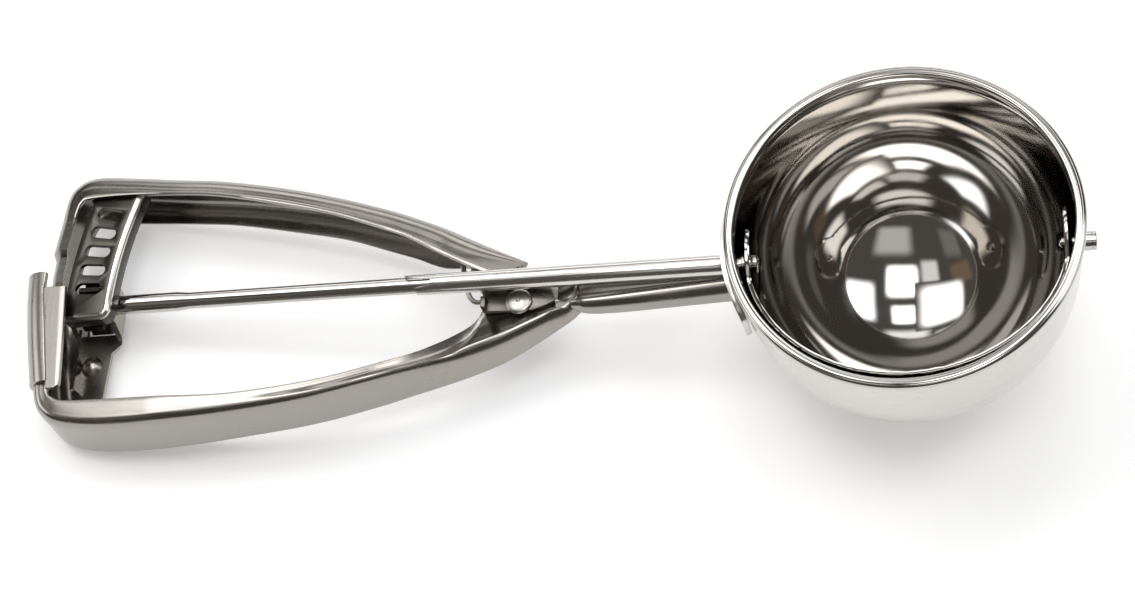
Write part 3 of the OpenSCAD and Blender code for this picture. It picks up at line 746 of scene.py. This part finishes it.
# x, middle y, middle z, half width, half height
shank_rows = [(-69.4, -4.2, -5.3, 1.2, 1.8), (-68.2, -4.2, -5.3, 1.5, 2.0),
              (-66.5, -4.3, -5.3, 1.9, 2.4), (-63, -4.3, -5.3, 2.1, 2.7),
              (-57, -4.0, -5.3, 2.3, 2.9), (-48, -3.4, -5.3, 2.5, 3.1),
              (-39, -2.7, -5.3, 2.8, 3.3), (-36, -2.4, -5.3, 3.0, 3.5),
              (-33.8, -2.1, -5.3, 3.5, 3.8)]
shank_line = stations(shank_rows, SHANK_STEPS)
bpy.ops.mesh.primitive_grid_add(x_subdivisions=SIDES, y_subdivisions=len(shank_line) - 1)
shank = named("rolled_shank")
for vertex in shank.data.vertices:
    row, side = divmod(vertex.index, SIDES + 1)
    x, y, z, half_y, half_z = shank_line[row]
    angle = 2 * math.pi * side / SIDES
    seam = 1 - SEAM_DEPTH * math.exp(-((math.degrees(angle) - SEAM_AT) / SEAM_WIDTH) ** 2)
    vertex.co = (x, y + half_y * seam * math.cos(angle), z + half_z * seam * math.sin(angle))
edit(shank)
bpy.ops.mesh.remove_doubles(threshold=0.0005)
bpy.ops.mesh.normals_make_consistent(inside=False)
done(shank)
modify(shank, "SOLIDIFY", thickness=SHANK_WALL, offset=-1, use_even_offset=True)

# the lip: the blank's upper edge, which closes the gap below the guide tube. It is crowned a
# little across.
LIP_COLUMNS = 6
LIP_CROWN = 0.15
# x, far y, far z, near y, near z
lip_rows = [(-72.7, 1.0, -5.2, -3.6, -5.3), (-70.5, 1.8, -4.2, -3.4, -4.7),
            (-68.5, 1.9, -3.0, -3.3, -4.0), (-66, 1.9, -2.4, -3.3, -3.6),
            (-60, 1.7, -2.3, -3.0, -3.3), (-50, 1.5, -2.3, -2.4, -3.0),
            (-40, 1.3, -2.3, -2.0, -2.8), (-34.6, 1.2, -2.3, -1.8, -2.7)]
lip_line = stations(lip_rows, SHANK_STEPS)
bpy.ops.mesh.primitive_grid_add(x_subdivisions=LIP_COLUMNS, y_subdivisions=len(lip_line) - 1)
lip = bpy.context.object
for vertex in lip.data.vertices:
    row, column = divmod(vertex.index, LIP_COLUMNS + 1)
    x, far_y, far_z, near_y, near_z = lip_line[row]
    t = column / LIP_COLUMNS
    vertex.co = (x, far_y + (near_y - far_y) * t,
                 far_z + (near_z - far_z) * t + LIP_CROWN * math.sin(math.pi * t))
edit(lip)
bpy.ops.mesh.normals_make_consistent(inside=False)
done(lip)
if sum(face.normal.z for face in lip.data.polygons) < 0:
    flip(lip)
modify(lip, "SOLIDIFY", thickness=SHANK_WALL, offset=-1, use_even_offset=True)
modify(lip, "BEVEL", width=0.2, segments=2, limit_method="ANGLE", angle_limit=math.radians(50))
only(shank)
lip.select_set(True)
bpy.ops.object.join()
fit(shank, "base", "satin_steel", ["shank"], belt_polished)


# ---- pivot: plate, rivet, washer and collar ----
# A blanked plate welded under the moving handle's flange turns on a domed rivet. The rivet
# passes through a washer and the fixed web, and is clinched over a collar below.

# blanked sheet with its mill finish and a soft even gloss. Its mid grey, darker than the handles,
# is painted shade for its place under the moving handle's web
blanked = stainless("mill-finished stainless plate with painted shade", "#6E6A65", 0.32, grain=(2.5, 2.5, 2.5),
                    streak=0.03, depth=0.0008)
RIVET_R = 1.5
outline = [(-11, 9.4), (-10.6, 5.1), (-8, 2.5), (-7.6, -1.7), (2.8, -1.9), (5.4, -1.1),
           (7.6, -0.1), (6.2, 4.3), (-1.2, 8.1), (-6.4, 8.9), (-10.2, 10.3)]


def by_rivet(corners, high):
    """A plate that lies on the washer, with its corners counted from the rivet."""
    return cutter([(PIVOT[0] + x, PIVOT[1] + y) for x, y in corners], PIVOT_PLATE_LOW,
                  PIVOT_PLATE_LOW + high)


by_rivet(outline, SHEET)
pivot_plate = named("pivot_lug")
bpy.ops.mesh.primitive_cylinder_add(vertices=48, radius=RIVET_R + 0.06, depth=6,
                                    location=(*PIVOT, PIVOT_PLATE_LOW))
cut(pivot_plate, [bpy.context.object])
# a narrow ear is turned up from the plate, to 1 mm above the handle's flange
ear = by_rivet(block(-7.8, -1.6, -6.8, 0.8), 2 * SHEET + 1)
modify(pivot_plate, "BOOLEAN", object=ear, operation="UNION", solver="EXACT")
bpy.data.objects.remove(ear)
modify(pivot_plate, "BEVEL", width=0.16, segments=2, limit_method="ANGLE",
       angle_limit=math.radians(50))
fit(pivot_plate, "moving", "dark_steel", ["pivot_plate"], blanked)

# cold-headed and barrel-finished: a soft satin dome
headed = stainless("barrel-finished stainless", "#A5A19C", 0.32, grain=(3, 3, 3), streak=0.03)
HEAD_R = 2.8
head_z = PIVOT_PLATE_LOW + SHEET
# the pin goes on through the spring's coils and the collar under them
COIL_ROOM = 4.2
COLLAR_T = 0.8
foot_z = LUG_TOP - SHEET - COIL_ROOM - COLLAR_T
dome = [(head_z + 0.45 + 0.55 * math.cos(math.radians(a)), HEAD_R * math.sin(math.radians(a)))
        for a in range(14, 86, 8)]
rivet = turned("pivot_rivet_pin",
               [(foot_z, 0), (foot_z, RIVET_R - 0.1), (foot_z + 0.1, RIVET_R), (head_z, RIVET_R),
                (head_z, HEAD_R - 0.1), (head_z + 0.1, HEAD_R)]
               + dome[::-1] + [(head_z + 0.99, 0.46), (head_z + 0.8, 0.34), (head_z + 0.7, 0)],
               axis="Z", steps=64, closed=False)
rivet.data.transform(Matrix.Translation((*PIVOT, 0)))
fit(rivet, "base", "polished_steel", ["pivot_rivet"], headed)


# ---- return spring ----
# Two coils of 1.2 mm spring wire, wound round the rivet below the fixed handle's lug. One leg
# presses out on each handle.

# drawn wire: grey, with fine lines along it
spring_steel = stainless("drawn spring steel", "#B5B0AA", 0.2, grain=(8, 0.3, 0.3), streak=0.04)
WIRE_R = 0.6
COIL_R = 4.3
COIL_PITCH = 1.3
coil_top = LUG_TOP - SHEET - WIRE_R - 0.3
leg_z = PAN_LOW + SHEET + WIRE_R + 0.4
# in along the moving handle, twice round the rivet, and out along the fixed handle
path = [(PIVOT[0] + x, PIVOT[1] + y, z) for x, y, z in
        [(-14.8, 16.1, -8), (-14, 11.5, -7.9), (-12.8, 5.5, -7.7), (-11, 1.9, -7.5),
         (-8, 2.5, -7.4)]]
path += [(PIVOT[0] + COIL_R * math.cos(math.radians(a + 120)),
          PIVOT[1] + COIL_R * math.sin(math.radians(a + 120)), coil_top - COIL_PITCH * a / 360)
         for a in range(0, 721, 20)]
path += [(path[-1][0] - 4, path[-1][1] - 2.4, path[-1][2] + 0.2),
         (PIVOT[0] - 11.4, PIVOT[1] - 9.2, leg_z), (PIVOT[0] - 25.4, PIVOT[1] - 16.2, leg_z + 1)]
wire = bpy.data.curves.new("spring_wire", "CURVE")
wire.dimensions = "3D"
wire.bevel_depth = WIRE_R
wire.bevel_resolution = 3
wire.resolution_u = 4
wire.use_fill_caps = True
run = wire.splines.new("NURBS")
run.points.add(len(path) - 1)
for point, place in zip(run.points, path):
    point.co = (*place, 1)
run.use_endpoint_u = True
run.order_u = 3
spring = bpy.data.objects.new("pivot_spring", wire)
bpy.context.scene.collection.objects.link(spring)
only(spring)
bpy.ops.object.convert(target="MESH")
spring = bpy.context.object
edit(spring)
bpy.ops.mesh.remove_doubles(threshold=0.001)
bpy.ops.mesh.normals_make_consistent(inside=False)
done(spring)
lay(spring, spring_steel, smooth=40)
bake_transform(spring)
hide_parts("return_spring")


# ---- rack plate ----
# A 1 mm plate welded under the moving handle's flange. Five slots blanked on an arc round the
# rivet mesh with the pinion, and its right and lower edges are turned down round a soft bend.

# tumbled, not polished: dark, with a soft even gloss
tumbled = stainless("tumbled stainless plate", "#4A4743", 0.3, grain=(2.5, 2.5, 2.5),
                    streak=0.03, depth=0.0008)
# painted highlight: the outside of its bend is coloured bright where it would catch the light
bend_painted_highlight = stainless("stainless bend with painted highlight", "#E0DEDB", 0.2, grain=(4, 4, 4), streak=0.02)
RACK_T = 1.0
RACK_FOOT = 2.5
# the plate's straight upper edge, under the moving handle's wall
WALL_Y = 23.7
# how far the plate reaches from the slots' arc, towards the rivet and away from it
RACK_IN = 5.5
RACK_OUT = 4.8
# the turned-down edges' bend
BEND_R = 1.3
# direction from the rivet to the pinion, in degrees
MESH_ANGLE = 180 + math.degrees(math.asin(PIVOT[1] / RACK_R))


def around(radius, angle):
    """A point at a radius and an angle around the rivet."""
    return (PIVOT[0] + radius * math.cos(math.radians(angle)),
            PIVOT[1] + radius * math.sin(math.radians(angle)))


end_angle = MESH_ANGLE + 3.6
start_angle = MESH_ANGLE - 17.2
# the corner between the right and the lower edge takes the last part of the arc
CORNER = 1.6
ARC_STEPS = 14
right_side = [around(RACK_R - RACK_IN,
                     start_angle + (end_angle - CORNER - start_angle) * i / ARC_STEPS)
              for i in range(ARC_STEPS + 1)]
low_corner = [around(RACK_R - RACK_IN + 2.4 * (1 - math.cos(math.radians(a))),
                     end_angle - CORNER + CORNER * math.sin(math.radians(a)))
              for a in (20, 40, 60, 80)]
low_side = [around(RACK_R + r, end_angle) for r in (-3.1, -1, 2)]
left_side = [around(RACK_R + RACK_OUT, end_angle - (end_angle - start_angle) * i / ARC_STEPS)
             for i in range(ARC_STEPS + 1)]
rim_line = [point for point in right_side + low_corner + low_side + left_side
            if point[1] < WALL_Y]
rim_line = [around(RACK_R - RACK_IN, MESH_ANGLE - 17.9)] + rim_line \
    + [(PINION_X - 3, WALL_Y), (PINION_X + 7.6, WALL_Y)]
bpy.ops.mesh.primitive_circle_add(vertices=len(rim_line), fill_type="NGON")
rack = named("slotted_rack")
for vertex, (x, y) in zip(rack.data.vertices, rim_line):
    vertex.co = (x, y, RACK_TOP)
if rack.data.polygons[0].normal.z < 0:
    flip(rack)
# the right and the lower edge come first in the outline
last_turned = len(right_side) + len(low_corner) + len(low_side)


def turned_down(edge):
    """Whether an edge of the flat plate is one that gets turned down."""
    a, b = edge.vertices
    return max(a, b) <= last_turned and abs(a - b) == 1


edit(rack, "EDGE")
bpy.ops.mesh.select_all(action="DESELECT")
done(rack)
for edge in rack.data.edges:
    edge.select = turned_down(edge)
bpy.ops.object.mode_set(mode="EDIT")
bpy.ops.mesh.extrude_edges_move(TRANSFORM_OT_translate={"value": (0, 0, RACK_FOOT - RACK_TOP)})
done(rack)
for edge in rack.data.edges:
    edge.select = turned_down(edge)
for vertex in rack.data.vertices:
    vertex.select = vertex.index <= last_turned
bpy.ops.object.mode_set(mode="EDIT")
bpy.ops.mesh.bevel(offset=BEND_R, segments=5, affect="EDGES")
bpy.ops.mesh.select_all(action="SELECT")
bpy.ops.mesh.remove_doubles(threshold=0.001)
bpy.ops.mesh.normals_make_consistent(inside=False)
done(rack)
if max(rack.data.polygons, key=lambda face: face.area).normal.z < 0:
    flip(rack)
modify(rack, "SOLIDIFY", thickness=RACK_T, offset=-1, use_even_offset=True)

TEETH = 8
SLOTS = 5
SLOT_W = 2.6
SLOT_L = 6.0
# the first slot's lead over the pinion's top, and the step from slot to slot, around the rivet
FIRST_LEAD = 12 * PITCH_R / RACK_R
SLOT_STEP = 360 / TEETH * PITCH_R / RACK_R
slot_shape = arc((SLOT_L - SLOT_W) / 2, 0, SLOT_W / 2, -90, 90, 13) \
    + arc(-(SLOT_L - SLOT_W) / 2, 0, SLOT_W / 2, 90, 270, 13)
slots = []
for i in range(SLOTS):
    angle = MESH_ANGLE - FIRST_LEAD - i * SLOT_STEP
    middle = Vector(around(RACK_R, angle))
    turn = Matrix.Rotation(math.radians(angle), 2)
    slots.append(cutter([tuple(middle + turn @ Vector(point)) for point in slot_shape],
                        RACK_TOP - RACK_T - 2, RACK_TOP + 2))
cut(rack, slots)
modify(rack, "BEVEL", width=0.14, segments=2, limit_method="ANGLE", angle_limit=math.radians(45))
# the bend's outer faces lean, and lie by the right or the lower edge; they take the painted
# highlight
bend = []
for face in rack.data.polygons:
    out = face.center - Vector((*PIVOT, face.center.z))
    angle = math.degrees(math.atan2(out.y, out.x)) % 360
    if 0.1 < face.normal.z < 0.97 and (out.length < RACK_R - 3.9 or angle > end_angle - 1.0):
        bend.append(face.index)
fit(rack, "moving", "dark_steel", ["rack_plate"], tumbled, bend_painted_highlight)
# the bend's faces get the bright colour of the painted highlight
for index in bend:
    rack.data.polygons[index].material_index = 1


# ---- frame nodes that stay ----
# Small stainless hardware and the mechanism, mostly hidden under the handles. They keep their
# CAD shape and get their own finish.

# pressed from sheet: brighter than the plates, its bends catch soft highlights
pressed = stainless("pressed stainless bracket", "#A29D97", 0.28, grain=(4, 4, 4), streak=0.03)
kept = {"pivot_washer": tumbled, "rivet_collar": tumbled, "bracket_rivet": tumbled,
        "pinion": tumbled, "pinion_spacer": bright_drawn, "rod_end_clip": tumbled,
        "rod_bracket": pressed}
for name, metal in kept.items():
    node = frame["nodes"][name]
    for slot in node.material_slots:
        slot.material = metal
